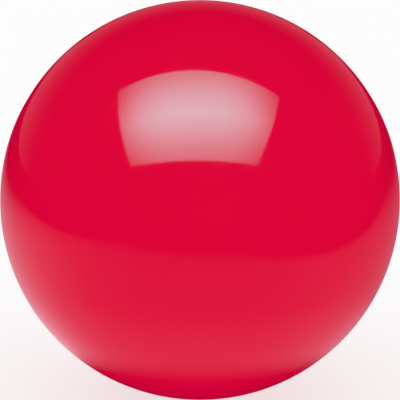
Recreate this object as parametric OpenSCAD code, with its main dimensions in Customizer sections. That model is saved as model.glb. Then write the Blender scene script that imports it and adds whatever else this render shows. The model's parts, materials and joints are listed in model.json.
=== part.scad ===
// Inflatable rubber playground ball: a glossy moulded cover over an air bladder, with a self-sealing
// needle valve. The origin is the centre of the ball, +Z is up, and the valve's axis is +Y, out of
// its mouth. The mould line is the great circle half way between the valve and the far side.
// Every radius called "_r" with no other centre is measured from the centre of the ball.

/* [Ball] */
// Outside diameter of the inflated ball
ball_d = 216; // [127:1:330]
// Thickness of the moulded outer cover
cover_t = 1.7; // [1.2:0.1:3]
// Thickness of the air bladder inside the cover
bladder_t = 0.9; // [0.6:0.1:1.5]
// Height of the mould line above the cover
seam_h = 0.1; // [0.05:0.05:0.3]
// Width of the mould line
seam_w = 0.8; // [0.4:0.1:2]

/* [Valve surround] */
// Diameter of the raised ring that marks the valve, at the middle of its rounded top
ring_d = 24; // [18:0.5:36]
// Width of the raised ring where it meets the cover
ring_w = 1.6; // [0.8:0.1:2.4]
// Height of the raised ring above the cover
ring_h = 0.25; // [0.1:0.05:0.4]
// Bevel round the edge of the hole in the cover
hole_bevel = 0.4; // [0.2:0.1:0.8]

/* [Reinforcing patch] */
// Diameter of the round patch inside the bladder
patch_d = 50; // [40:1:70]
// Thickness of the patch
patch_t = 0.8; // [0.5:0.1:1.5]

/* [Valve housing] */
// Diameter of the flange that is cemented to the patch
flange_d = 32; // [26:1:38]
// Thickness of the flange
flange_t = 1.2; // [0.9:0.1:2]
// Diameter of the boss that hangs inside the ball
boss_d = 13; // [11.5:0.5:18]
// Diameter of the neck that passes through the patch and the bladder
neck_d = 11; // [10:0.5:11.5]
// Height and width of the sloping root between the boss and the flange
root_h = 1.6; // [0.5:0.1:2.5]
// Bevel round the inner end of the boss
boss_bevel = 1; // [0.4:0.1:1.6]

/* [Valve core] */
// Diameter of the head, which fills the hole in the cover
head_d = 9; // [7:0.5:9.5]
// Depth of the head's face below the surface of the ball
head_sink = 0.15; // [0.1:0.05:0.4]
// Diameter of the tapered shank under the head
shank_d = 6; // [5:0.1:6.5]
// Diameter of the tapered shank at its inner tip
tip_d = 5; // [4.4:0.1:5]
// Length of the shank below the head
shank_l = 18; // [16:0.5:24]
// Length of the tip that shows past the inner end of the boss
tip_out = 1.5; // [0.5:0.1:2.5]
// Bevel round the tip
tip_bevel = 0.7; // [0.3:0.1:1]

/* [Needle channel] */
// Outside diameter of the inflating needle, which the channel grips
needle_d = 1.9; // [1.6:0.1:2.2]
// Diameter of the funnel at the mouth
funnel_d = 3.4; // [2.6:0.1:4.5]
// Depth of the funnel
funnel_l = 1.5; // [0.8:0.1:2.5]
// Depth of the channel below the head's face, funnel included
channel_l = 12; // [8:0.5:14]
// Width of the slit that seals the inner end of the channel
slit_w = 2.6; // [2:0.1:3.2]
// Opening of the slit when no needle is in it
slit_gap = 0.12; // [0.08:0.02:0.2]

/* [Clearances] */
// Film of cement between bonded layers
cement = 0.1; // [0.05:0.05:0.2]
// Gap between the core and the housing, on every side
core_gap = 0.05; // [0.03:0.01:0.1]
// Gap between the core's head and the edge of the hole in the cover
head_gap = 0.2; // [0.1:0.05:0.4]

/* [Hidden] */
$fn = 128;

// Length that a cut runs past the surface it opens
over = 1;

// Layers, from the outside in
ball_r = ball_d / 2;
cover_in_r = ball_r - cover_t;
bladder_r = cover_in_r - cement;
bladder_in_r = bladder_r - bladder_t;
patch_r = bladder_in_r - cement;
patch_in_r = patch_r - patch_t;
flange_r = patch_in_r - cement;
flange_in_r = flange_r - flange_t;

// Valve: heights along its axis, from the centre of the ball
seat_z = bladder_r;
tip_z = seat_z - shank_l;
boss_z = tip_z + tip_out;
face_r = ball_r - head_sink;
channel_z = face_r - channel_l;
funnel_z = face_r - funnel_l;
hole_d = head_d + 2 * head_gap;

// Height of a sphere's surface above its centre, at a distance from the axis
function cap_z(sphere_r, axis_distance) = sqrt(sphere_r ^ 2 - axis_distance ^ 2);

// Radius of the tapered shank at a height along the valve's axis
function shank_r(z) = (tip_d + (shank_d - tip_d) * (z - tip_z) / shank_l) / 2;

// Radius of the circle that has a chord of the given width and the given rise above it
function bead_r(width, rise) = ((width / 2) ^ 2 + rise ^ 2) / (2 * rise);

// Turns the valve's axis from +Z, where the pieces are drawn, to +Y
module along_valve() {
    rotate([-90, 0, 0]) children();
}

// Hollow sphere
module shell(outer_r, thickness) {
    difference() {
        sphere(r = outer_r);
        sphere(r = outer_r - thickness);
    }
}

// Round disc cut from a hollow sphere, centred on the valve's axis
module shell_disc(outer_r, thickness, d) {
    intersection() {
        shell(outer_r, thickness);
        cylinder(d = d, h = outer_r + over);
    }
}

// Round hole through every layer, centred on the valve's axis
module valve_hole(d) {
    cylinder(d = d, h = ball_r + over);
}

// Tapered shank between two heights, made larger all round by a gap
module shank_taper(low_z, high_z, gap = 0) {
    translate([0, 0, low_z])
        cylinder(h = high_z - low_z, r1 = shank_r(low_z) + gap, r2 = shank_r(high_z) + gap);
}

// Low flat band left where the two halves of the mould meet
module mould_line() {
    intersection() {
        sphere(r = ball_r + seam_h);
        cylinder(d = ball_d + 2 * over, h = seam_w, center = true);
    }
}

// Raised ring with a rounded top, which helps a thumb to find the valve
module valve_ring() {
    bead = bead_r(ring_w, ring_h);
    translate([0, 0, cap_z(ball_r + ring_h - bead, ring_d / 2)])
        rotate_extrude()
            translate([ring_d / 2, 0]) circle(r = bead);
}

module cover() {
    edge_z = cap_z(ball_r, hole_d / 2);
    color("crimson") along_valve()
        difference() {
            union() {
                sphere(r = ball_r);
                mould_line();
                valve_ring();
            }
            sphere(r = cover_in_r);
            valve_hole(hole_d);
            translate([0, 0, edge_z - hole_bevel])
                cylinder(h = hole_bevel + over, d1 = hole_d, d2 = hole_d + 2 * (hole_bevel + over));
        }
}

module bladder() {
    color("dimgray") along_valve()
        difference() {
            shell(bladder_r, bladder_t);
            valve_hole(neck_d + 2 * cement);
        }
}

module valve_patch() {
    color("saddlebrown") along_valve()
        difference() {
            shell_disc(patch_r, patch_t, patch_d);
            valve_hole(neck_d + 2 * cement);
        }
}

// Flange, neck and boss before the bore is cut
module housing_body() {
    shell_disc(flange_r, flange_t, flange_d);
    intersection() {
        sphere(r = seat_z);
        translate([0, 0, flange_in_r]) cylinder(d = neck_d, h = seat_z);
    }
    translate([0, 0, boss_z]) cylinder(h = boss_bevel, d1 = boss_d - 2 * boss_bevel, d2 = boss_d);
    translate([0, 0, boss_z + boss_bevel])
        cylinder(h = flange_in_r - boss_z - boss_bevel, d = boss_d);
    translate([0, 0, flange_in_r - root_h])
        cylinder(h = root_h, d1 = boss_d, d2 = boss_d + 2 * root_h);
}

module valve_housing() {
    color("firebrick") along_valve()
        difference() {
            housing_body();
            shank_taper(boss_z - over, seat_z + over, core_gap);
        }
}

// Head and shank before the channel is cut
module core_body() {
    head_in_r = seat_z + core_gap;
    shell_disc(face_r, face_r - head_in_r, head_d);
    shank_taper(tip_z + tip_bevel, cap_z(face_r, head_d / 2) - head_sink);
    translate([0, 0, tip_z])
        cylinder(h = tip_bevel, r1 = shank_r(tip_z + tip_bevel) - tip_bevel, r2 = shank_r(tip_z + tip_bevel));
}

// Funnel, needle channel and the closed slit below it
module needle_way() {
    flare = (funnel_d - needle_d) / 2 / funnel_l;
    translate([0, 0, funnel_z])
        cylinder(h = funnel_l + over, d1 = needle_d, d2 = funnel_d + 2 * flare * over);
    translate([0, 0, channel_z]) cylinder(d = needle_d, h = channel_l + over);
    translate([-slit_w / 2, -slit_gap / 2, tip_z - over])
        cube([slit_w, slit_gap, channel_z - tip_z + 2 * over]);
}

module valve_core() {
    color("darkslategray") along_valve()
        difference() {
            core_body();
            needle_way();
        }
}

cover();
bladder();
valve_patch();
valve_housing();
valve_core();
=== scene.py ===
"""Glossy red inflatable playground ball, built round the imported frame.

The ball is five turned rubber pieces about the valve's axis, which is +Y: the moulded cover, the air bladder
inside it, the patch that reinforces the bladder, and the self-sealing needle valve made of a housing and a
core. Pieces are worked out in millimetres and written to their meshes in metres.
"""

import json
import logging
import math
from dataclasses import dataclass, field
from enum import Enum

import bpy
import numpy as np
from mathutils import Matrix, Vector


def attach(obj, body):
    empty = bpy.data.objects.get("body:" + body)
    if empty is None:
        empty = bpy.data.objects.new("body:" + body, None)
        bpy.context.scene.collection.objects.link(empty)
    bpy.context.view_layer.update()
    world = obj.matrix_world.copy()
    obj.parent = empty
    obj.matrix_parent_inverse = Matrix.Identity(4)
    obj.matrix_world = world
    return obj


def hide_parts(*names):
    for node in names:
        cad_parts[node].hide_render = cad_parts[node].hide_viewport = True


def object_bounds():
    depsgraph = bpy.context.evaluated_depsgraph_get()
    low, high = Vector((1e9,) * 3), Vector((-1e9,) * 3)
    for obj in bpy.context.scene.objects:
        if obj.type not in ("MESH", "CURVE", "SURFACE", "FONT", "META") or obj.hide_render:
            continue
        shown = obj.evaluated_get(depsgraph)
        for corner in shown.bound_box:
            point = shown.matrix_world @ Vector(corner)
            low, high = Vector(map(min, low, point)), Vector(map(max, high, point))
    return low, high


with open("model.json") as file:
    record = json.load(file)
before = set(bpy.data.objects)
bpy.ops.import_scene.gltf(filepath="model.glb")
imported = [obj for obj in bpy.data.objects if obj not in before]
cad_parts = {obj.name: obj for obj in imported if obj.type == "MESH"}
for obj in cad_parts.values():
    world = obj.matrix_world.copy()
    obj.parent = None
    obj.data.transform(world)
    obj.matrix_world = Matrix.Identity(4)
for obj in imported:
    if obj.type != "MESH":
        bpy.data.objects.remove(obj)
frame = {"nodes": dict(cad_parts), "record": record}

CAD_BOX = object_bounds()
LOG = logging.getLogger("playground_ball")

# One millimetre, in metres
MM = 0.001
# Distance under which two heights or radii count as the same, in mm
NEAR = 0.01
# Steps in half of the window that rounds a corner
HALF_WINDOW_STEPS = 4
# Noise values at which the clouds in a rubber's gloss start and end
CLOUD_EDGE = (0.3, 0.7)
# Distance from the ball to each side of the floor and of the table, in metres
STAGE_REACH = 40.0

Colour = tuple[float, float, float]
Pair = tuple[float, float]
Socket = bpy.types.NodeSocket


class Body(Enum):
    """The bodies that pieces ride on."""

    BALL = "ball"
    CORE = "core"


class Slot(Enum):
    """The material slots of the record."""

    COVER = "cover_rubber"
    BLADDER = "bladder_rubber"
    PATCH = "patch_rubber"
    HOUSING = "housing_rubber"
    CORE = "core_rubber"


class SeenBy(Enum):
    """The rays that a face of the studio shows itself to."""

    CAMERA = "visible_camera"
    GLOSS = "visible_glossy"


class Kind(Enum):
    """The kinds of socket that the shared effects have."""

    COLOUR = "NodeSocketColor"
    NUMBER = "NodeSocketFloat"


# ---------------------------------------------------------------------------------------------------------
# Outlines
# ---------------------------------------------------------------------------------------------------------


def sphere_arc(radius: float, start_rho: float, end_rho: float, spacing: float = 0.2) -> np.ndarray:
    """Points of a circle about the ball's centre, on the valve's side.

    Formula: height = sqrt(radius^2 - rho^2), with the angle asin(rho / radius) in even steps.

    Args:
        radius: Radius of the circle, in mm.
        start_rho: Distance from the valve's axis where the arc starts, in mm.
        end_rho: Distance from the valve's axis where the arc ends, in mm.
        spacing: Rough distance between neighbouring points, in mm.

    Returns:
        An (n, 2) array of distance from the axis and height along it.
    """
    start, end = math.asin(start_rho / radius), math.asin(end_rho / radius)
    count = max(3, math.ceil(abs(end - start) * radius / spacing))
    angle = np.linspace(start, end, count)
    return np.column_stack([radius * np.sin(angle), radius * np.cos(angle)])


def sphere_point(radius: float, rho: float) -> np.ndarray:
    """The one point of a circle about the ball's centre at a distance from the valve's axis, as (1, 2)."""
    return np.array([[rho, math.sqrt(radius**2 - rho**2)]])


def softened(outline: np.ndarray, window: float) -> np.ndarray:
    """Rounds the corners of an outline.

    Formula: the outline is read at even steps of arc length, and each point becomes the mean of the points
    within half a window of it. A corner becomes a parabola, and a straight stretch stays where it was. Each
    end is carried on by its own point reflection, so it doesn't move.

    Args:
        outline: An (n, 2) array of points.
        window: Length of outline that a corner is rounded over, in mm.

    Returns:
        An (m, 2) array of closely spaced points.
    """
    half = HALF_WINDOW_STEPS
    walk = np.concatenate([[0.0], np.cumsum(np.hypot(*np.diff(outline, axis=0).T))])
    marks = np.linspace(0.0, walk[-1], math.ceil(walk[-1] / window * 2 * half) + 1)
    dense = np.column_stack([np.interp(marks, walk, outline[:, axis]) for axis in (0, 1)])
    before = 2 * dense[0] - dense[half:0:-1]
    after = 2 * dense[-1] - dense[-2 : -half - 2 : -1]
    padded = np.concatenate([before, dense, after])
    kernel = np.full(2 * half + 1, 1.0 / (2 * half + 1))
    return np.column_stack([np.convolve(padded[:, axis], kernel, "valid") for axis in (0, 1)])


def spaced(outline: np.ndarray, longest: float, turn: float) -> np.ndarray:
    """Keeps few points where an outline is straight, and many where it turns.

    Formula: a measure grows with arc length over `longest` plus turning angle over `turn`, and the outline
    is read at even steps of about one of that measure.

    Args:
        outline: An (n, 2) array of closely spaced points.
        longest: Longest step on a straight stretch, in mm.
        turn: Largest turn between two steps, in degrees.

    Returns:
        An (m, 2) array of points.
    """
    step = np.diff(outline, axis=0)
    heading = np.unwrap(np.arctan2(step[:, 1], step[:, 0]))
    bend = np.abs(np.diff(heading, prepend=heading[0]))
    growth = np.hypot(step[:, 0], step[:, 1]) / longest + bend / math.radians(turn)
    measure = np.concatenate([[0.0], np.cumsum(growth)])
    marks = np.linspace(0.0, measure[-1], math.ceil(measure[-1]) + 1)
    return np.column_stack([np.interp(marks, measure, outline[:, axis]) for axis in (0, 1)])


def smooth_step(values: np.ndarray, low: float, high: float) -> np.ndarray:
    """Cubic step 3t^2 - 2t^3 from 0 at `low` to 1 at `high`, flat outside them."""
    t = np.clip((values - low) / (high - low), 0.0, 1.0)
    return t * t * (3.0 - 2.0 * t)


# ---------------------------------------------------------------------------------------------------------
# Sizes read from the frame
# ---------------------------------------------------------------------------------------------------------


class CadNode:
    """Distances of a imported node's vertices, in mm: from the valve's axis, along it and from the centre."""

    def __init__(self, name: str) -> None:
        """Reads the node's vertices.

        Args:
            name: Name of the node in the frame.
        """
        mesh = frame["nodes"][name].data
        flat = np.zeros(len(mesh.vertices) * 3, np.float32)
        mesh.vertices.foreach_get("co", flat)
        place = flat.reshape(-1, 3).astype(float) / MM
        self.rho = np.hypot(place[:, 0], place[:, 2])
        self.height = place[:, 1]
        self.reach = np.linalg.norm(place, axis=1)

    def narrowest(self, above: float) -> float:
        """Least distance from the axis of any vertex higher than `above`."""
        return float(self.rho[self.height > above].min())

    def widest(self, low: float, high: float) -> float:
        """Greatest distance from the axis of any vertex between two heights."""
        return float(self.rho[(self.height >= low) & (self.height <= high)].max())


# ---------------------------------------------------------------------------------------------------------
# Shader nodes
# ---------------------------------------------------------------------------------------------------------


class Graph:
    """A node tree, with short ways to add nodes and to join them."""

    def __init__(self, tree: bpy.types.NodeTree) -> None:
        """Keeps the tree.

        Args:
            tree: Node tree of a material, a world or a group.
        """
        self.tree = tree

    def add(self, kind: str, **inputs: object) -> bpy.types.Node:
        """Adds a node.

        Args:
            kind: The node's type, such as "ShaderNodeBump".
            **inputs: A value or a socket for each named input, with _ for a space.

        Returns:
            The new node.
        """
        node = self.tree.nodes.new(kind)
        for name, value in inputs.items():
            self.put(value, node.inputs[name.replace("_", " ")])
        return node

    def put(self, value: object, into: Socket) -> None:
        """Joins a socket to an input, or sets the input's own value.

        Args:
            value: A socket, or the input's own value.
            into: The input.
        """
        if isinstance(value, bpy.types.NodeSocket):
            self.tree.links.new(value, into)
        else:
            into.default_value = value

    def math(self, operation: str, *values: object, clamp: bool = False) -> Socket:
        """Works out one number from others.

        Args:
            operation: Name of the Math node's operation.
            *values: Numbers or sockets, in the order of the node's inputs.
            clamp: Whether the result is kept between 0 and 1.

        Returns:
            The result's socket.
        """
        node = self.tree.nodes.new("ShaderNodeMath")
        node.operation = operation
        node.use_clamp = clamp
        for value, into in zip(values, node.inputs):
            self.put(value, into)
        return node.outputs[0]

    def vector(self, operation: str, first: object, second: object) -> bpy.types.Node:
        """Works out one vector or number from two vectors.

        Args:
            operation: Name of the Vector Math node's operation.
            first: First vector, as three numbers or a socket.
            second: Second vector, as three numbers or a socket.

        Returns:
            The node, with its outputs Vector and Value.
        """
        node = self.tree.nodes.new("ShaderNodeVectorMath")
        node.operation = operation
        self.put(first, node.inputs[0])
        self.put(second, node.inputs[1])
        return node

    def step(self, value: Socket, low: float, high: float, start: float = 0.0, end: float = 1.0) -> Socket:
        """Smooth step of a value.

        Args:
            value: The socket that is read.
            low: Value at which the step starts.
            high: Value at which the step ends.
            start: Result at `low` and below it.
            end: Result at `high` and above it.

        Returns:
            The result's socket.
        """
        node = self.tree.nodes.new("ShaderNodeMapRange")
        node.interpolation_type = "SMOOTHSTEP"
        for name, number in (("From Min", low), ("From Max", high), ("To Min", start), ("To Max", end)):
            self.put(number, node.inputs[name])
        self.put(value, node.inputs["Value"])
        return node.outputs["Result"]

    def mix(self, share: object, first: object, second: object, blend: str = "MIX") -> Socket:
        """Mixes two colours.

        Args:
            share: Share of the second colour, from 0 to 1.
            first: First colour, as four numbers or a socket.
            second: Second colour, as four numbers or a socket.
            blend: Name of the Mix node's blend type.

        Returns:
            The mixed colour's socket.
        """
        node = self.tree.nodes.new("ShaderNodeMix")
        node.data_type = "RGBA"
        node.blend_type = blend
        colours = [socket for socket in node.inputs if socket.type == "RGBA"]
        self.put(share, node.inputs[0])
        self.put(first, colours[0])
        self.put(second, colours[1])
        return next(socket for socket in node.outputs if socket.type == "RGBA")

    def noise(self, place: Socket, scale: object, detail: float = 2.0, distortion: float = 0.0) -> Socket:
        """Noise between 0 and 1.

        Args:
            place: Socket of the coordinates.
            scale: Features per metre, as a number or a socket.
            detail: Number of finer layers.
            distortion: How far the coordinates are bent by the noise itself.

        Returns:
            The noise's socket.
        """
        noise = self.add("ShaderNodeTexNoise", Vector=place, Scale=scale, Detail=detail)
        noise.inputs["Distortion"].default_value = distortion
        return noise.outputs["Fac"]

    def object_place(self) -> Socket:
        """Place on the piece, in metres from the ball's centre."""
        return self.tree.nodes.new("ShaderNodeTexCoord").outputs["Object"]


class Effect(Enum):
    """Effects that several finishes share. Each value is the name of a node group."""

    MOTTLE = "uneven_pigment"
    SKIN = "moulded_skin"
    SCUFFS = "fine_scuffs"
    VALVE_DUST = "dust_round_valve"


class EffectGroups:
    """Builds each shared effect once, as a shader node group with named inputs and outputs.

    A pair holds the two ends of a smooth step.
    """

    # Distance from a cell's own point at which a speck ends, in cells
    SPECK_EDGE = (0.06, 0.1)
    # Random values, from 0 to 1, above which a cell has a speck
    CELLS_WITH_SPECK = (0.92, 0.93)
    # How far a scuff bends, and how far the noise may be from its middle on it
    SCUFF_BEND = 1.4
    SCUFF_WIDTH = 0.006
    # Scale of the scuffed areas as a share of the scuffs' own, and the noise at their edges
    SCUFFED_SCALE = 0.45
    SCUFFED_AREA = (0.54, 0.66)
    # Features of dust per metre, the noise at the edges of its grains, and the dust between them
    DUST_SCALE = 900.0
    DUST_EDGE = (0.35, 0.65)
    THINNEST_DUST = 0.35

    def __init__(self) -> None:
        """Builds all the groups."""
        self.groups = {
            Effect.MOTTLE: self.mottle(),
            Effect.SKIN: self.skin(),
            Effect.SCUFFS: self.scuffs(),
            Effect.VALVE_DUST: self.valve_dust(),
        }

    @staticmethod
    def start(
        effect: Effect, inputs: dict[str, Kind], outputs: dict[str, Kind]
    ) -> tuple[Graph, bpy.types.Node, bpy.types.Node]:
        """Starts a group.

        Args:
            effect: Which effect it holds.
            inputs: Kind of each named input.
            outputs: Kind of each named output.

        Returns:
            The group's graph, its input node and its output node.
        """
        tree = bpy.data.node_groups.new(effect.value, "ShaderNodeTree")
        for name, kind in inputs.items():
            tree.interface.new_socket(name, in_out="INPUT", socket_type=kind.value)
        for name, kind in outputs.items():
            tree.interface.new_socket(name, in_out="OUTPUT", socket_type=kind.value)
        return Graph(tree), tree.nodes.new("NodeGroupInput"), tree.nodes.new("NodeGroupOutput")

    def mottle(self) -> bpy.types.NodeTree:
        """Pigment that isn't quite evenly mixed: cloudy noise makes the colour a little lighter and darker.

        Returns:
            The group.
        """
        graph, given, made = self.start(
            Effect.MOTTLE,
            {"Colour": Kind.COLOUR, "Scale": Kind.NUMBER, "Strength": Kind.NUMBER},
            {"Colour": Kind.COLOUR},
        )
        cloud = graph.noise(graph.object_place(), given.outputs["Scale"], detail=4.0)
        centred = graph.math("SUBTRACT", cloud, 0.5)
        value = graph.math("MULTIPLY_ADD", centred, given.outputs["Strength"], 1.0)
        shade = graph.add("ShaderNodeHueSaturation", Color=given.outputs["Colour"], Value=value)
        graph.put(shade.outputs["Color"], made.inputs["Colour"])
        return graph.tree

    def skin(self) -> bpy.types.NodeTree:
        """Skin of moulded rubber: long shallow waves, fine grain and a few sunken specks.

        Returns:
            The group, whose Height is in metres.
        """
        graph, given, made = self.start(
            Effect.SKIN,
            {
                "Wave Scale": Kind.NUMBER,
                "Wave Height": Kind.NUMBER,
                "Grain Scale": Kind.NUMBER,
                "Grain Height": Kind.NUMBER,
                "Speck Scale": Kind.NUMBER,
                "Speck Depth": Kind.NUMBER,
            },
            {"Height": Kind.NUMBER, "Specks": Kind.NUMBER},
        )
        place = graph.object_place()
        wave = graph.noise(place, given.outputs["Wave Scale"], detail=1.0)
        grain = graph.noise(place, given.outputs["Grain Scale"], detail=3.0)
        cells = graph.add("ShaderNodeTexVoronoi", Vector=place, Scale=given.outputs["Speck Scale"])
        near = graph.step(cells.outputs["Distance"], *self.SPECK_EDGE, start=1.0, end=0.0)
        draw = graph.add("ShaderNodeSeparateColor", Color=cells.outputs["Color"]).outputs["Red"]
        chosen = graph.step(draw, *self.CELLS_WITH_SPECK)
        specks = graph.math("MULTIPLY", near, chosen)
        height = graph.math("MULTIPLY", wave, given.outputs["Wave Height"])
        height = graph.math("MULTIPLY_ADD", grain, given.outputs["Grain Height"], height)
        sunk = graph.math("MULTIPLY", specks, given.outputs["Speck Depth"])
        graph.put(graph.math("SUBTRACT", height, sunk), made.inputs["Height"])
        graph.put(specks, made.inputs["Specks"])
        return graph.tree

    def scuffs(self) -> bpy.types.NodeTree:
        """Fine curved scuffs from handling: lines where bent noise crosses its middle, in loose patches.

        Returns:
            The group.
        """
        graph, given, made = self.start(
            Effect.SCUFFS,
            {"Scale": Kind.NUMBER, "Amount": Kind.NUMBER},
            {"Mask": Kind.NUMBER},
        )
        place = graph.object_place()
        lines = graph.noise(place, given.outputs["Scale"], detail=1.0, distortion=self.SCUFF_BEND)
        off = graph.math("ABSOLUTE", graph.math("SUBTRACT", lines, 0.5))
        thin = graph.step(off, 0.0, self.SCUFF_WIDTH, start=1.0, end=0.0)
        wide_scale = graph.math("MULTIPLY", given.outputs["Scale"], self.SCUFFED_SCALE)
        inside = graph.step(graph.noise(place, wide_scale), *self.SCUFFED_AREA)
        mask = graph.math("MULTIPLY", graph.math("MULTIPLY", thin, inside), given.outputs["Amount"])
        graph.put(mask, made.inputs["Mask"])
        return graph.tree

    def valve_dust(self) -> bpy.types.NodeTree:
        """Dust that gathers in the groove round the valve: a band about the valve's axis, broken by noise.

        Returns:
            The group.
        """
        graph, given, made = self.start(
            Effect.VALVE_DUST,
            {"Groove Radius": Kind.NUMBER, "Spread": Kind.NUMBER, "Amount": Kind.NUMBER},
            {"Mask": Kind.NUMBER},
        )
        place = graph.object_place()
        part = graph.add("ShaderNodeSeparateXYZ", Vector=place)
        x, y, z = part.outputs
        rho = graph.math("SQRT", graph.math("MULTIPLY_ADD", x, x, graph.math("MULTIPLY", z, z)))
        off = graph.math("ABSOLUTE", graph.math("SUBTRACT", rho, given.outputs["Groove Radius"]))
        band = graph.math("SUBTRACT", 1.0, graph.math("DIVIDE", off, given.outputs["Spread"]), clamp=True)
        grains = graph.noise(place, self.DUST_SCALE, detail=3.0)
        broken = graph.step(grains, *self.DUST_EDGE, start=self.THINNEST_DUST)
        valve_side = graph.math("GREATER_THAN", y, 0.0)
        mask = graph.math("MULTIPLY", graph.math("MULTIPLY", band, broken), valve_side)
        graph.put(graph.math("MULTIPLY", mask, given.outputs["Amount"]), made.inputs["Mask"])
        return graph.tree

    def place(self, graph: Graph, effect: Effect, **inputs: object) -> bpy.types.Node:
        """Places an effect in a material.

        Args:
            graph: The material's graph.
            effect: Which effect is placed.
            **inputs: A value or a socket for each named input, with _ for a space.

        Returns:
            The group's node.
        """
        node = graph.tree.nodes.new("ShaderNodeGroup")
        node.node_tree = self.groups[effect]
        for name, value in inputs.items():
            graph.put(value, node.inputs[name.replace("_", " ")])
        return node


@dataclass(frozen=True)
class RubberFinish:
    """One moulded rubber: its colour, its gloss, its skin and the marks of its use.

    Scales are in features per metre, and heights, depths, dust_radius and dust_spread are in metres.
    """

    name: str
    colour: Colour
    roughness: float
    roughness_spread: float = 0.04
    roughness_scale: float = 45.0
    ior: float = 1.5
    mottle_scale: float = 30.0
    mottle: float = 0.05
    wave_scale: float = 260.0
    wave_height: float = 2.0e-6
    grain_scale: float = 2500.0
    grain_height: float = 1.0e-6
    speck_scale: float = 90.0
    speck_depth: float = 0.0
    speck_tint: float = 0.0
    speck_shade: float = 0.35
    scuff_scale: float = 55.0
    scuffs: float = 0.0
    scuff_depth: float = 0.0
    scuff_roughness: float = 0.25
    dust_colour: Colour = (0.42, 0.36, 0.31)
    dust_radius: float = 0.0
    dust_spread: float = 0.004
    dust: float = 0.0
    dust_roughness: float = 0.5
    sheen: float = 0.0
    sheen_tint: Colour = (1.0, 1.0, 1.0)
    sheen_roughness: float = 0.3

    def material(self, effects: EffectGroups) -> bpy.types.Material:
        """Makes the material.

        Args:
            effects: The shared effects.

        Returns:
            The material, whose colour, roughness and normal all change over the surface.
        """
        made = bpy.data.materials.new(self.name)
        made.use_nodes = True
        made.node_tree.nodes.clear()
        graph = Graph(made.node_tree)
        skin = effects.place(
            graph,
            Effect.SKIN,
            Wave_Scale=self.wave_scale,
            Wave_Height=self.wave_height,
            Grain_Scale=self.grain_scale,
            Grain_Height=self.grain_height,
            Speck_Scale=self.speck_scale,
            Speck_Depth=self.speck_depth,
        )
        scuffs = effects.place(graph, Effect.SCUFFS, Scale=self.scuff_scale, Amount=self.scuffs)
        dust = effects.place(
            graph,
            Effect.VALVE_DUST,
            Groove_Radius=self.dust_radius,
            Spread=self.dust_spread,
            Amount=self.dust,
        )
        surface = graph.tree.nodes.new("ShaderNodeBsdfPrincipled")
        surface.inputs["IOR"].default_value = self.ior
        surface.inputs["Sheen Weight"].default_value = self.sheen
        surface.inputs["Sheen Roughness"].default_value = self.sheen_roughness
        surface.inputs["Sheen Tint"].default_value = (*self.sheen_tint, 1.0)
        graph.put(self.tinted(graph, effects, skin, dust), surface.inputs["Base Color"])
        graph.put(self.gloss(graph, scuffs, dust), surface.inputs["Roughness"])
        scuffed = graph.math("MULTIPLY", scuffs.outputs["Mask"], -self.scuff_depth)
        height = graph.math("ADD", scuffed, skin.outputs["Height"])
        bump = graph.add("ShaderNodeBump", Strength=1.0, Distance=1.0, Height=height)
        graph.put(bump.outputs["Normal"], surface.inputs["Normal"])
        output = graph.tree.nodes.new("ShaderNodeOutputMaterial")
        graph.put(surface.outputs["BSDF"], output.inputs["Surface"])
        return made

    def tinted(
        self, graph: Graph, effects: EffectGroups, skin: bpy.types.Node, dust: bpy.types.Node
    ) -> Socket:
        """Colour of the rubber, with its specks darkened and its dust on top.

        Args:
            graph: The material's graph.
            effects: The shared effects.
            skin: The placed skin.
            dust: The placed dust.

        Returns:
            The colour's socket.
        """
        pigment = effects.place(
            graph, Effect.MOTTLE, Colour=(*self.colour, 1.0), Scale=self.mottle_scale, Strength=self.mottle
        )
        darker = tuple(self.speck_shade * channel for channel in self.colour)
        share = graph.math("MULTIPLY", skin.outputs["Specks"], self.speck_tint)
        specked = graph.mix(share, pigment.outputs["Colour"], (*darker, 1.0))
        return graph.mix(dust.outputs["Mask"], specked, (*self.dust_colour, 1.0))

    def gloss(self, graph: Graph, scuffs: bpy.types.Node, dust: bpy.types.Node) -> Socket:
        """Roughness: an even value with soft clouds, rougher on scuffs and dust.

        Args:
            graph: The material's graph.
            scuffs: The placed scuffs.
            dust: The placed dust.

        Returns:
            The roughness's socket.
        """
        smoothest = self.roughness - self.roughness_spread / 2
        roughest = self.roughness + self.roughness_spread / 2
        noise = graph.noise(graph.object_place(), self.roughness_scale, detail=3.0)
        cloud = graph.step(noise, *CLOUD_EDGE, start=smoothest, end=roughest)
        scuffed = graph.math("MULTIPLY_ADD", scuffs.outputs["Mask"], self.scuff_roughness, cloud)
        return graph.math("MULTIPLY_ADD", dust.outputs["Mask"], self.dust_roughness, scuffed, clamp=True)


# ---------------------------------------------------------------------------------------------------------
# Turned pieces
# ---------------------------------------------------------------------------------------------------------


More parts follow.
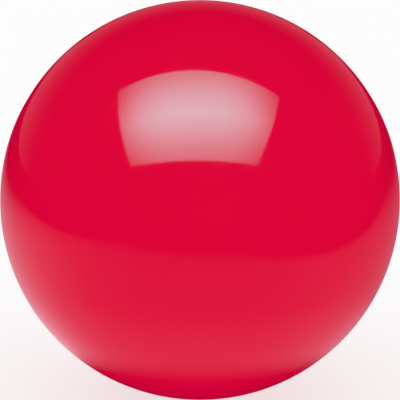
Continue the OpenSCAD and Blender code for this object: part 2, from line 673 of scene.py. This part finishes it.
@dataclass
class TurnedPiece:
    """A piece turned about the valve's axis from an outline, with a relief that may change round the turn.

    Lengths are in mm and turn is in degrees. A rho is a distance from the valve's axis, an r is a distance
    from the ball's centre, and a low is a height along the axis.
    """

    name: str
    node: str
    body: Body
    slot: Slot
    finish: RubberFinish
    steps: int = 128
    longest: float = 1.5
    turn: float = 6.0
    rounding: float = 0.3

    def corners(self) -> np.ndarray:
        """The outline before its corners are rounded, as (n, 2) distances from the axis and heights."""
        raise NotImplementedError

    def relief(self, outline: np.ndarray, angle: np.ndarray) -> np.ndarray:
        """Height added along the surface's normal, in mm, for each outline point and angle: none here."""
        return np.zeros((len(outline), len(angle)))

    def is_ring(self) -> bool:
        """Whether the outline closes on itself instead of ending on the axis."""
        return False

    def surface(self) -> tuple[np.ndarray, np.ndarray]:
        """Works out the turned surface.

        Formula: P(u, v) = (rho sin v, height, rho cos v), moved by relief(u, v) along the outline's normal.
        The normal is the outline's direction turned a quarter turn towards the outside.

        Returns:
            The grid's places as an (n, steps, 3) array in mm, and the (n, 2) outline.
        """
        outline = spaced(softened(self.corners(), self.rounding), self.longest, self.turn)
        outline[:, 0] = np.maximum(outline[:, 0], 0.0)
        if self.is_ring():
            outline = outline[:-1]
        angle = np.arange(self.steps) * (2 * math.pi / self.steps)
        along = np.gradient(outline, axis=0)
        along /= np.linalg.norm(along, axis=1, keepdims=True)
        out_rho, out_height = along[:, 1], -along[:, 0]
        raised = self.relief(outline, angle) * self.outward(outline)
        rho = outline[:, :1] + raised * out_rho[:, None]
        height = outline[:, 1:] + raised * out_height[:, None]
        return np.stack([rho * np.sin(angle), height, rho * np.cos(angle)], axis=2), outline

    def outward(self, outline: np.ndarray) -> float:
        """Tells which way the outline runs.

        Formula: the sign of the solid's volume, pi times the sum of rho^2 times the height's change.

        Args:
            outline: The (n, 2) outline.

        Returns:
            1 where the outline runs with the solid on its left, and -1 where it runs the other way.
        """
        closed = np.concatenate([outline, outline[:1]])
        middle = (closed[1:, 0] + closed[:-1, 0]) / 2
        return float(np.sign(np.sum(middle**2 * np.diff(closed[:, 1]))))

    def mesh(self) -> bpy.types.Mesh:
        """Writes the surface as quads between neighbouring rings, with a fan of triangles at each pole.

        Returns:
            The mesh, in metres, with its faces pointing outwards.
        """
        places, outline = self.surface()
        rings, steps = places.shape[:2]
        index = np.arange(rings * steps).reshape(rings, steps)
        on = np.roll(index, -1, axis=1)
        last = rings if self.is_ring() else rings - 1
        above, above_on = np.roll(index, -1, axis=0)[:last], np.roll(on, -1, axis=0)[:last]
        quads = np.stack([index[:last], on[:last], above_on, above], axis=2)
        vertices = places.reshape(-1, 3)
        triangles = np.zeros((0, 3), int)
        if not self.is_ring():
            quads = quads[1:-1]
            poles = places[[0, -1]].mean(axis=1)
            first, final = len(vertices), len(vertices) + 1
            vertices = np.concatenate([vertices, poles])
            start = np.column_stack([np.full(steps, first), on[1], index[1]])
            end = np.column_stack([np.full(steps, final), index[-2], on[-2]])
            triangles = np.concatenate([start, end])
        quads = quads.reshape(-1, 4)
        if self.outward(outline) < 0:
            quads, triangles = quads[:, ::-1], triangles[:, ::-1]
        used = np.unique(np.concatenate([quads.ravel(), triangles.ravel()]))
        renumber = np.zeros(len(vertices), int)
        renumber[used] = np.arange(len(used))
        made = bpy.data.meshes.new(self.name)
        faces = renumber[quads].tolist() + renumber[triangles].tolist()
        made.from_pydata((vertices[used] * MM).tolist(), [], faces)
        made.validate()
        made.shade_smooth()
        return made

    def build(self, effects: EffectGroups) -> bpy.types.Object:
        """Makes the piece, dresses it and puts it on its body in place of its CAD node.

        Args:
            effects: The shared effects.

        Returns:
            The piece's object.
        """
        piece = bpy.data.objects.new(self.name, self.mesh())
        bpy.context.scene.collection.objects.link(piece)
        piece.data.materials.append(self.finish.material(effects))
        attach(piece, self.body.value)
        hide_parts(self.node)
        LOG.info("%s: %d vertices, %d faces", self.name, len(piece.data.vertices), len(piece.data.polygons))
        return piece


@dataclass
class Cover(TurnedPiece):
    """Moulded outer cover: a hollow sphere with a mould line, and a ring round the valve's hole."""

    ball_r: float = 108.0
    inner_r: float = 106.3
    hole_r: float = 4.7
    seam_h: float = 0.1
    seam_w: float = 0.8
    ring_r: float = 12.0
    ring_w: float = 1.6
    ring_h: float = 0.25
    hole_bevel: float = 0.4
    outside_points: int = 9000
    inside_points: int = 2000

    def corners(self) -> np.ndarray:
        """Outer skin from the far pole to the hole, the hole's bevel and wall, and the inner skin back.

        Formula: the outer radius at polar angle a is the ball's, plus a flat-topped mould line of height
        seam_h exp(-(2s / seam_w)^4) at arc length s from the equator, plus a rounded ring of height
        ring_h (1 + cos(2 pi s / ring_w)) / 2 at arc length s from its middle, over one ring_w.

        Returns:
            The outline.
        """
        edge = math.asin((self.hole_r + self.hole_bevel) / self.ball_r)
        polar = np.linspace(math.pi, edge, self.outside_points)
        from_seam = self.ball_r * (polar - math.pi / 2)
        seam = self.seam_h * np.exp(-((2 * from_seam / self.seam_w) ** 4))
        from_ring = self.ball_r * (polar - math.asin(self.ring_r / self.ball_r))
        in_ring = np.abs(from_ring) < self.ring_w / 2
        wave = np.where(in_ring, np.cos(2 * math.pi * from_ring / self.ring_w), -1.0)
        radius = self.ball_r + seam + self.ring_h * (1 + wave) / 2
        outside = np.column_stack([radius * np.sin(polar), radius * np.cos(polar)])
        bevel = sphere_point(self.ball_r, self.hole_r) - (0.0, self.hole_bevel)
        back = np.linspace(math.asin(self.hole_r / self.inner_r), math.pi, self.inside_points)
        inside = self.inner_r * np.column_stack([np.sin(back), np.cos(back)])
        return np.concatenate([outside, bevel, inside])


@dataclass
class Bladder(TurnedPiece):
    """Air bladder: a thin hollow sphere with low ribs on its inner wall and a hole for the valve's neck."""

    outer_r: float = 106.2
    inner_r: float = 105.3
    hole_r: float = 5.6
    ribs: int = 16
    rib_h: float = 0.12
    rib_fade: Pair = (30.0, 45.0)
    points: int = 4000

    def corners(self) -> np.ndarray:
        """Outer wall from the far pole to the hole, the hole's wall, and the inner wall back.

        Returns:
            The outline.
        """
        there = np.linspace(math.pi, math.asin(self.hole_r / self.outer_r), self.points)
        back = np.linspace(math.asin(self.hole_r / self.inner_r), math.pi, self.points)
        outside = self.outer_r * np.column_stack([np.sin(there), np.cos(there)])
        inside = self.inner_r * np.column_stack([np.sin(back), np.cos(back)])
        return np.concatenate([outside, inside])

    def relief(self, outline: np.ndarray, angle: np.ndarray) -> np.ndarray:
        """Meridian ribs on the inner wall.

        Formula: rib_h max(0, cos(ribs v))^6 at angle v, faded out towards the axis between two distances.

        Args:
            outline: The (n, 2) outline.
            angle: Angles round the turn.

        Returns:
            The (n, steps) relief, in mm.
        """
        reach = np.hypot(outline[:, 0], outline[:, 1])
        middle = (self.outer_r + self.inner_r) / 2
        inner = 1.0 - smooth_step(reach, self.inner_r + NEAR, middle)
        away = smooth_step(outline[:, 0], *self.rib_fade)
        rib = np.maximum(0.0, np.cos(self.ribs * angle)) ** 6
        return self.rib_h * (inner * away)[:, None] * rib[None, :]


@dataclass
class ValvePatch(TurnedPiece):
    """Round patch cemented inside the bladder, with its rim skived thin."""

    outer_r: float = 105.2
    inner_r: float = 104.4
    rim_rho: float = 25.0
    hole_rho: float = 5.6
    skive: float = 3.0
    rim_t: float = 0.3

    def is_ring(self) -> bool:
        """The patch's outline closes on itself round the hole."""
        return True

    def corners(self) -> np.ndarray:
        """Outer face from the hole to the rim, the thin rim, and the inner face back with its skived edge.

        Returns:
            The outline.
        """
        outer = sphere_arc(self.outer_r, self.hole_rho, self.rim_rho)
        rim_in = sphere_point(self.outer_r - self.rim_t, self.rim_rho)
        inner = sphere_arc(self.inner_r, self.rim_rho - self.skive, self.hole_rho)
        middle = (outer[:1] + inner[-1:]) / 2
        return np.concatenate([middle, outer, rim_in, inner, middle])


@dataclass
class ValveHousing(TurnedPiece):
    """Valve housing: a flange, a neck through the patch and bladder, and a boss with the core's bore."""

    neck_top_r: float = 106.2
    flange_outer_r: float = 104.3
    flange_inner_r: float = 103.1
    flange_rho: float = 16.0
    neck_rho: float = 5.5
    boss_rho: float = 6.5
    boss_low: float = 89.7
    boss_bevel: float = 1.0
    root: float = 1.6
    bore_top_rho: float = 3.05
    bore_low_rho: float = 2.6

    def is_ring(self) -> bool:
        """The housing's outline closes on itself round the bore."""
        return True

    def corners(self) -> np.ndarray:
        """Neck's top, neck, flange, sloping root, boss, and the tapered bore back up.

        Returns:
            The outline.
        """
        top = sphere_arc(self.neck_top_r, self.bore_top_rho, self.neck_rho)
        outer = sphere_arc(self.flange_outer_r, self.neck_rho, self.flange_rho)
        root_rho = self.boss_rho + self.root
        inner = sphere_arc(self.flange_inner_r, self.flange_rho, root_rho)
        boss = np.array(
            [
                [self.boss_rho, self.flange_inner_r - self.root],
                [self.boss_rho, self.boss_low + self.boss_bevel],
                [self.boss_rho - self.boss_bevel, self.boss_low],
                [self.bore_low_rho, self.boss_low],
            ]
        )
        bore_rho = (self.bore_low_rho + self.bore_top_rho) / 2
        bore_height = (self.boss_low + self.neck_top_r) / 2
        middle = np.array([[bore_rho, bore_height]])
        return np.concatenate([middle, top, outer, inner, boss, middle])


@dataclass
class ValveCore(TurnedPiece):
    """Valve core: a round head, a tapered shank, the needle's funnel and channel, and a slit at the tip."""

    face_r: float = 107.85
    head_in_r: float = 106.25
    head_rho: float = 4.5
    shank_top_rho: float = 3.0
    tip_rho: float = 2.5
    tip_low: float = 88.2
    tip_bevel: float = 0.7
    funnel_rho: float = 1.7
    needle_rho: float = 0.95
    funnel_low: float = 106.35
    channel_low: float = 95.85
    head_groove_rho: float = 3.1
    groove_depth: float = 0.12
    groove_w: float = 0.18
    channel_round: float = 0.4
    channel_flat: float = 0.57
    slit_w: float = 2.6
    slit_depth: float = 0.6
    slit_half: float = 0.11
    slit_floor_half: float = 0.044
    slit_end: float = 0.15
    face_spacing: float = 0.05
    tip_points: int = 40
    channel_points: int = 12

    def corners(self) -> np.ndarray:
        """Tip, shank, underside and side of the head, its face, the funnel and the channel.

        Formula: the head's face is the ball's own curve less a groove of depth groove_depth
        exp(-((rho - head_groove_rho) / groove_w)^2).

        Returns:
            The outline.
        """
        tip = self.flat(0.0, self.tip_rho - self.tip_bevel, self.tip_low, self.tip_points)
        shank_low = np.array([[self.tip_rho, self.tip_low + self.tip_bevel]])
        shank_top = sphere_point(self.head_in_r, self.shank_top_rho)
        under = sphere_arc(self.head_in_r, self.shank_top_rho, self.head_rho)
        face = sphere_arc(self.face_r, self.head_rho, self.funnel_rho, self.face_spacing)
        from_groove = (face[:, 0] - self.head_groove_rho) / self.groove_w
        face[:, 1] -= self.groove_depth * np.exp(-(from_groove**2))
        channel_end = self.channel_low + self.channel_round
        channel = np.array([[self.needle_rho, self.funnel_low], [self.needle_rho, channel_end]])
        bottom = self.flat(self.channel_flat, 0.0, self.channel_low, self.channel_points)
        return np.concatenate([tip, shank_low, shank_top, under, face, channel, bottom])

    @staticmethod
    def flat(start_rho: float, end_rho: float, low: float, count: int) -> np.ndarray:
        """Even points of a flat end, as (count, 2) distances from the axis and heights."""
        return np.column_stack([np.linspace(start_rho, end_rho, count), np.full(count, low)])

    def relief(self, outline: np.ndarray, angle: np.ndarray) -> np.ndarray:
        """The closed slit in the tip's face: a groove along X.

        Formula: minus slit_depth where |x| is under half of slit_w and |z| under slit_half, with smooth
        sides, on the outline's stretch that lies at the tip.

        Args:
            outline: The (n, 2) outline.
            angle: Angles round the turn.

        Returns:
            The (n, steps) relief, in mm.
        """
        x = outline[:, :1] * np.sin(angle)
        z = outline[:, :1] * np.cos(angle)
        at_tip = (outline[:, 1:] < self.tip_low + NEAR).astype(float)
        across = 1.0 - smooth_step(np.abs(z), self.slit_floor_half, self.slit_half)
        along = 1.0 - smooth_step(np.abs(x), self.slit_w / 2 - self.slit_end, self.slit_w / 2)
        return -self.slit_depth * at_tip * across * along


# ---------------------------------------------------------------------------------------------------------
# The ball
# ---------------------------------------------------------------------------------------------------------


COVER_FINISH = RubberFinish(
    name="glossy_red_cover",
    colour=(0.745, 0.0005, 0.04),
    roughness=0.06,
    roughness_spread=0.02,
    mottle=0.03,
    wave_height=2.4e-6,
    grain_scale=1300.0,
    grain_height=1.0e-6,
    speck_scale=70.0,
    speck_depth=4.0e-5,
    speck_tint=0.5,
    scuffs=0.6,
    scuff_depth=4.0e-6,
    sheen=0.6,
    sheen_tint=(1.0, 0.0, 0.08),
    dust_radius=0.0049,
    dust_spread=0.0012,
    dust=0.55,
)
BLADDER_FINISH = RubberFinish(
    name="talced_black_bladder",
    colour=(0.03, 0.03, 0.032),
    roughness=0.62,
    roughness_spread=0.2,
    mottle_scale=18.0,
    mottle=1.6,
    grain_height=6.0e-6,
)
PATCH_FINISH = RubberFinish(
    name="buffed_brown_patch",
    colour=(0.25, 0.12, 0.06),
    roughness=0.7,
    roughness_spread=0.12,
    mottle_scale=120.0,
    mottle=0.5,
    grain_scale=1600.0,
    grain_height=2.0e-5,
)
HOUSING_FINISH = RubberFinish(
    name="dull_red_housing",
    colour=(0.36, 0.02, 0.03),
    roughness=0.45,
    roughness_spread=0.1,
    mottle_scale=90.0,
    mottle=0.2,
    grain_height=3.0e-6,
)
CORE_FINISH = RubberFinish(
    name="satin_black_core",
    colour=(0.02, 0.02, 0.022),
    roughness=0.38,
    roughness_spread=0.1,
    mottle_scale=300.0,
    mottle=0.6,
    grain_height=2.0e-6,
    scuff_scale=400.0,
    scuffs=0.6,
    dust_radius=0.0031,
    dust_spread=0.0008,
    dust=0.3,
)


class PlaygroundBall:
    """The whole ball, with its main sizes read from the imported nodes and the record's needle mount.

    VALVE_SIDE is a share of the ball's radius, above which a height lies round the valve. BOSS_END is the
    stretch of the boss that its widest place is read from, and BORE_MOUTH that of the bore, in mm.
    """

    VALVE_SIDE = 0.9
    BOSS_END = 3.0
    BORE_MOUTH = 0.3

    def __init__(self) -> None:
        """Reads the sizes and sets up the five pieces."""
        cover, bladder = CadNode("cover"), CadNode("bladder")
        patch, housing, core = CadNode("valve_patch"), CadNode("valve_housing"), CadNode("valve_core")
        self.ball_r = float(-cover.height.min())
        valve_side = self.ball_r * self.VALVE_SIDE
        boss_low, tip_low = float(housing.height.min()), float(core.height.min())
        mounts = frame["record"]["mounts"]
        needle = next(mount for mount in mounts if mount["name"] == "needle_bore")
        middle, half = needle["pos_m"][1] / MM, needle["dims"]["length_mm"] / 2
        self.pieces: list[TurnedPiece] = [
            Cover(
                "cover_shell", "cover", Body.BALL, Slot.COVER, COVER_FINISH,
                steps=256, longest=7.0, turn=3.5, rounding=0.2,
                ball_r=self.ball_r,
                inner_r=float(cover.reach.min()),
                hole_r=cover.narrowest(valve_side),
                seam_h=float(cover.rho.max()) - self.ball_r,
                ring_h=float(cover.reach.max()) - self.ball_r,
            ),
            Bladder(
                "air_bladder", "bladder", Body.BALL, Slot.BLADDER, BLADDER_FINISH,
                steps=192, longest=8.0, turn=4.0,
                outer_r=float(bladder.reach.max()),
                inner_r=float(bladder.reach.min()),
                hole_r=bladder.narrowest(valve_side),
            ),
            ValvePatch(
                "reinforcing_patch", "valve_patch", Body.BALL, Slot.PATCH, PATCH_FINISH,
                outer_r=float(patch.reach.max()),
                inner_r=float(patch.reach.min()),
                rim_rho=float(patch.rho.max()),
                hole_rho=float(patch.rho.min()),
            ),
            ValveHousing(
                "housing_sleeve", "valve_housing", Body.BALL, Slot.HOUSING, HOUSING_FINISH,
                neck_top_r=float(housing.reach.max()),
                flange_rho=float(housing.rho.max()),
                boss_low=boss_low,
                boss_rho=housing.widest(boss_low, boss_low + self.BOSS_END),
                bore_low_rho=float(housing.rho[housing.height < boss_low + NEAR].min()),
                bore_top_rho=housing.narrowest(float(housing.height.max()) - self.BORE_MOUTH),
            ),
            ValveCore(
                "core_plug", "valve_core", Body.CORE, Slot.CORE, CORE_FINISH,
                longest=0.8, turn=8.0, rounding=0.25,
                face_r=float(core.reach.max()),
                head_rho=float(core.rho.max()),
                tip_low=tip_low,
                needle_rho=needle["dims"]["r_mm"],
                funnel_low=middle + half,
                channel_low=middle - half,
            ),
        ]

    def build(self) -> None:
        """Builds and dresses every piece."""
        effects = EffectGroups()
        for piece in self.pieces:
            piece.build(effects)


# ---------------------------------------------------------------------------------------------------------
# Studio
# ---------------------------------------------------------------------------------------------------------


def toward_camera(elevation: float) -> Vector:
    """Unit vector from the ball towards the camera's side, at an elevation in degrees."""
    angle = math.radians(elevation)
    return Vector((0.0, -math.cos(angle), math.sin(angle)))


def level_square(height: float) -> list[Vector]:
    """Four corners of a large level square at a height, in metres."""
    signs = ((-1, -1), (1, -1), (1, 1), (-1, 1))
    return [Vector((x * STAGE_REACH, y * STAGE_REACH, height)) for x, y in signs]


def grey(level: float) -> tuple[float, float, float, float]:
    """Neutral colour of a brightness."""
    return level, level, level, 1.0


class StageFace:
    """A flat face of the studio, which casts no shadow and shows itself to one kind of ray."""

    def __init__(self, name: str, corners: list[Vector], seen_by: SeenBy) -> None:
        """Makes the face and its empty material.

        Args:
            name: The face's name.
            corners: Its four corners.
            seen_by: The rays that see it.
        """
        material = bpy.data.materials.new(name)
        material.use_nodes = True
        material.node_tree.nodes.clear()
        self.graph = Graph(material.node_tree)
        mesh = bpy.data.meshes.new(name)
        mesh.from_pydata([tuple(corner) for corner in corners], [], [(0, 1, 2, 3)])
        mesh.materials.append(material)
        made = bpy.data.objects.new(name, mesh)
        bpy.context.scene.collection.objects.link(made)
        for ray in ("visible_camera", "visible_glossy", "visible_diffuse", "visible_shadow"):
            setattr(made, ray, ray == seen_by.value)

    def show(self, shader: bpy.types.Node) -> None:
        """Joins a shader to the material's output."""
        output = self.graph.tree.nodes.new("ShaderNodeOutputMaterial")
        self.graph.put(shader.outputs[0], output.inputs["Surface"])


@dataclass
class StudioCamera:
    """Camera in front of the ball and a little above it, with the ball filling the frame."""

    distance: float = 1.2
    elevation: float = 15.0
    frame_fill: float = 0.99965
    sensor: float = 36.0

    def build(self, ball_r: float) -> None:
        """Places the camera and points it at the ball's centre.

        Formula: the ball's half angle has the tangent R / sqrt(d^2 - R^2), which is frame_fill times the
        frame's own half width over the lens.

        Args:
            ball_r: Radius of the ball, in metres.
        """
        data = bpy.data.cameras.new("camera")
        tangent = ball_r / math.sqrt(self.distance**2 - ball_r**2)
        data.sensor_width = self.sensor
        data.lens = self.sensor / 2 * self.frame_fill / tangent
        camera = bpy.data.objects.new("camera", data)
        direction = toward_camera(self.elevation)
        camera.location = direction * self.distance
        camera.rotation_euler = (-direction).to_track_quat("-Z", "Y").to_euler()
        bpy.context.scene.collection.objects.link(camera)
        bpy.context.scene.camera = camera
        bpy.context.scene.view_settings.view_transform = "Standard"


@dataclass
class PaleFloor:
    """Plain pale floor, which the camera sees with the ball's own soft shadow."""

    evenness: float = 0.7

    def build(self, floor_z: float, shade: float) -> None:
        """Lays the floor: a matt face mixed with its own even light, which keeps the shadow faint.

        Args:
            floor_z: Height of the floor, in metres.
            shade: Brightness of the floor.
        """
        face = StageFace("floor", level_square(floor_z), SeenBy.CAMERA)
        matt = face.graph.add("ShaderNodeBsdfDiffuse", Color=grey(shade))
        even = face.graph.add("ShaderNodeEmission", Color=grey(shade), Strength=1.0)
        mixed = face.graph.tree.nodes.new("ShaderNodeMixShader")
        for value, into in zip((self.evenness, matt.outputs[0], even.outputs[0]), mixed.inputs):
            face.graph.put(value, into)
        face.show(mixed)


@dataclass
class TableTop:
    """Table top of painted light that only the gloss shows: a painted shadow where the ball stands, brighter
    to the sides.

    Lengths are in ball radii from where the ball stands, d is the distance from there, and facing is y / d.
    A pair holds the two ends of a smooth step.
    """

    colour: Colour = (1.0, 1.0, 1.12)
    near_edge: Pair = (0.95, 1.7)
    near_level: Pair = (0.34, 0.17)
    sides_meet: Pair = (-0.3, 0.3)
    left_rise: Pair = (-0.95, 0.3)
    left_level: float = 0.46
    right_rise: Pair = (-0.95, -0.4)
    right_level: float = 0.09
    contact_shadow: Pair = (0.56, 0.86)
    front_edge: Pair = (-5.3, -3.9)
    left_edge: Pair = (-6.8, -5.9)
    left_slant: float = 0.46
    right_edge: Pair = (3.5, 4.4)
    right_slant: float = -0.6
    fade: Pair = (1.0, 9.0)

    def build(self, ball_r: float, floor_z: float) -> None:
        """Lays the table top at the floor's height.

        Formula: a glow level that changes with d near the ball and rises with facing on each side, times a
        painted contact shadow that opens with d, times soft front, left and right edges and a fade far away.

        Args:
            ball_r: Radius of the ball, in metres.
            floor_z: Height of the floor, in metres.
        """
        face = StageFace("table", level_square(floor_z), SeenBy.GLOSS)
        graph = face.graph
        place = graph.add("ShaderNodeSeparateXYZ", Vector=graph.object_place())
        x = graph.math("DIVIDE", place.outputs["X"], ball_r)
        y = graph.math("DIVIDE", place.outputs["Y"], ball_r)
        d = graph.math("SQRT", graph.math("MULTIPLY_ADD", x, x, graph.math("MULTIPLY", y, y)))
        facing = graph.math("DIVIDE", y, d)
        on_left = graph.step(x, *self.sides_meet, start=1.0, end=0.0)
        on_right = graph.math("SUBTRACT", 1.0, on_left)
        left = graph.step(facing, *self.left_rise, end=self.left_level)
        right = graph.step(facing, *self.right_rise, end=self.right_level)
        sides = graph.math("MULTIPLY_ADD", left, on_left, graph.math("MULTIPLY", right, on_right))
        at_ball, away_from_ball = self.near_level
        level = graph.step(d, *self.near_edge, start=at_ball, end=away_from_ball)
        level = graph.math("ADD", level, sides)
        from_left = graph.math("MULTIPLY_ADD", y, self.left_slant, x)
        from_right = graph.math("MULTIPLY_ADD", y, self.right_slant, x)
        # Painted contact shadow of the ball, then the glow's soft edges and its fade far away
        for factor in (
            graph.step(d, *self.contact_shadow),
            graph.step(y, *self.front_edge),
            graph.step(from_left, *self.left_edge),
            graph.step(from_right, *self.right_edge, start=1.0, end=0.0),
            graph.step(d, *self.fade, start=1.0, end=0.0),
        ):
            level = graph.math("MULTIPLY", level, factor)
        # The table glows with painted light and painted shadow; it is no lamp
        face.show(graph.add("ShaderNodeEmission", Color=(*self.colour, 1.0), Strength=level))


@dataclass
class Softbox:
    """Large soft light above the camera, brightest in its middle, seen as the ball's broad highlight."""

    above_camera: float = 47.0
    distance: float = 0.75
    corners: tuple[Pair, ...] = ((-0.615, -0.37), (0.48, -0.38), (0.59, 0.32), (-0.62, 0.41))
    brightest: float = -0.05
    fall: Pair = (0.53, 0.35)
    fall_power: Pair = (3.0, 1.5)
    power: float = 10.6
    colour: Colour = (0.05, 1.0, 1.04)

    def build(self, camera_elevation: float) -> None:
        """Hangs the softbox above the camera, facing the ball.

        Formula: brightness falls as exp(-|u / a|^3 - |v / b|^1.5), with u and v in metres across and up
        from its brightest place, and with the two falls as a and b.

        Args:
            camera_elevation: Elevation of the camera, in degrees.
        """
        direction = toward_camera(camera_elevation + self.above_camera)
        centre = direction * self.distance
        across = Vector((1.0, 0.0, 0.0))
        up = direction.cross(across)
        corners = [centre + across * u + up * v for u, v in self.corners]
        face = StageFace("softbox", corners, SeenBy.GLOSS)
        graph = face.graph
        brightest = centre + across * self.brightest
        off = graph.vector("SUBTRACT", graph.object_place(), brightest).outputs["Vector"]
        falls = []
        for way, reach, power in zip((across, up), self.fall, self.fall_power):
            length = graph.vector("DOT_PRODUCT", off, way).outputs["Value"]
            share = graph.math("ABSOLUTE", graph.math("DIVIDE", length, reach))
            falls.append(graph.math("POWER", share, power))
        fall = graph.math("MULTIPLY", graph.math("ADD", *falls), -1.0)
        strength = graph.math("MULTIPLY", graph.math("EXPONENT", fall), self.power)
        face.show(graph.add("ShaderNodeEmission", Color=(*self.colour, 1.0), Strength=strength))


@dataclass
class Room:
    """Even white light for matt surfaces, a pale backdrop for the camera and a dim low sky for gloss."""

    light: float = 1.03
    sky_colour: Colour = (1.6, 1.0, 1.05)
    sky_level: float = 0.16
    sky_height: float = 0.55
    sky_behind: Pair = (0.3, 0.98)

    def build(self, backdrop: float) -> None:
        """Lights the room.

        Formula: the sky's brightness falls from sky_level at the horizon to nothing at a ray direction
        whose Z is sky_height, and rises between two values of its Y, so it stands behind the ball only.

        Args:
            backdrop: Brightness that the camera sees.
        """
        world = bpy.data.worlds.new("studio")
        world.use_nodes = True
        world.cycles.sampling_method = "NONE"
        world.node_tree.nodes.clear()
        graph = Graph(world.node_tree)
        way = graph.tree.nodes.new("ShaderNodeTexCoord").outputs["Generated"]
        part = graph.add("ShaderNodeSeparateXYZ", Vector=way)
        low = graph.step(part.outputs["Z"], 0.0, self.sky_height, start=self.sky_level, end=0.0)
        sky = graph.math("MULTIPLY", low, graph.step(part.outputs["Y"], *self.sky_behind))
        ray = graph.tree.nodes.new("ShaderNodeLightPath")
        dim = graph.mix(1.0, (*self.sky_colour, 1.0), sky, "MULTIPLY")
        colour = graph.mix(ray.outputs["Is Glossy Ray"], grey(self.light), dim)
        colour = graph.mix(ray.outputs["Is Camera Ray"], colour, grey(backdrop))
        light = graph.add("ShaderNodeBackground", Color=colour, Strength=1.0)
        output = graph.tree.nodes.new("ShaderNodeOutputWorld")
        graph.put(light.outputs[0], output.inputs["Surface"])
        bpy.context.scene.world = world


@dataclass
class Studio:
    """Camera, even light, pale floor and softbox, with a table of painted light and a low sky that only the
    gloss shows.
    """

    ball_r: float
    floor_z: float
    backdrop: float = 0.97
    camera: StudioCamera = field(default_factory=StudioCamera)
    room: Room = field(default_factory=Room)
    floor: PaleFloor = field(default_factory=PaleFloor)
    table: TableTop = field(default_factory=TableTop)
    softbox: Softbox = field(default_factory=Softbox)

    def build(self) -> None:
        """Sets up the camera, the lights and the floor."""
        self.camera.build(self.ball_r)
        self.room.build(self.backdrop)
        self.floor.build(self.floor_z, self.backdrop)
        self.table.build(self.ball_r, self.floor_z)
        self.softbox.build(self.camera.elevation)
        LOG.info("studio: camera %.1f degrees above the ball", self.camera.elevation)


def main() -> None:
    """Builds the ball and its studio."""
    logging.basicConfig(level=logging.INFO, format="%(name)s: %(message)s")
    ball = PlaygroundBall()
    ball.build()
    lowest = float(CAD_BOX[0].z)
    Studio(ball_r=ball.ball_r * MM, floor_z=lowest).build()


if __name__ == "__main__":
    main()
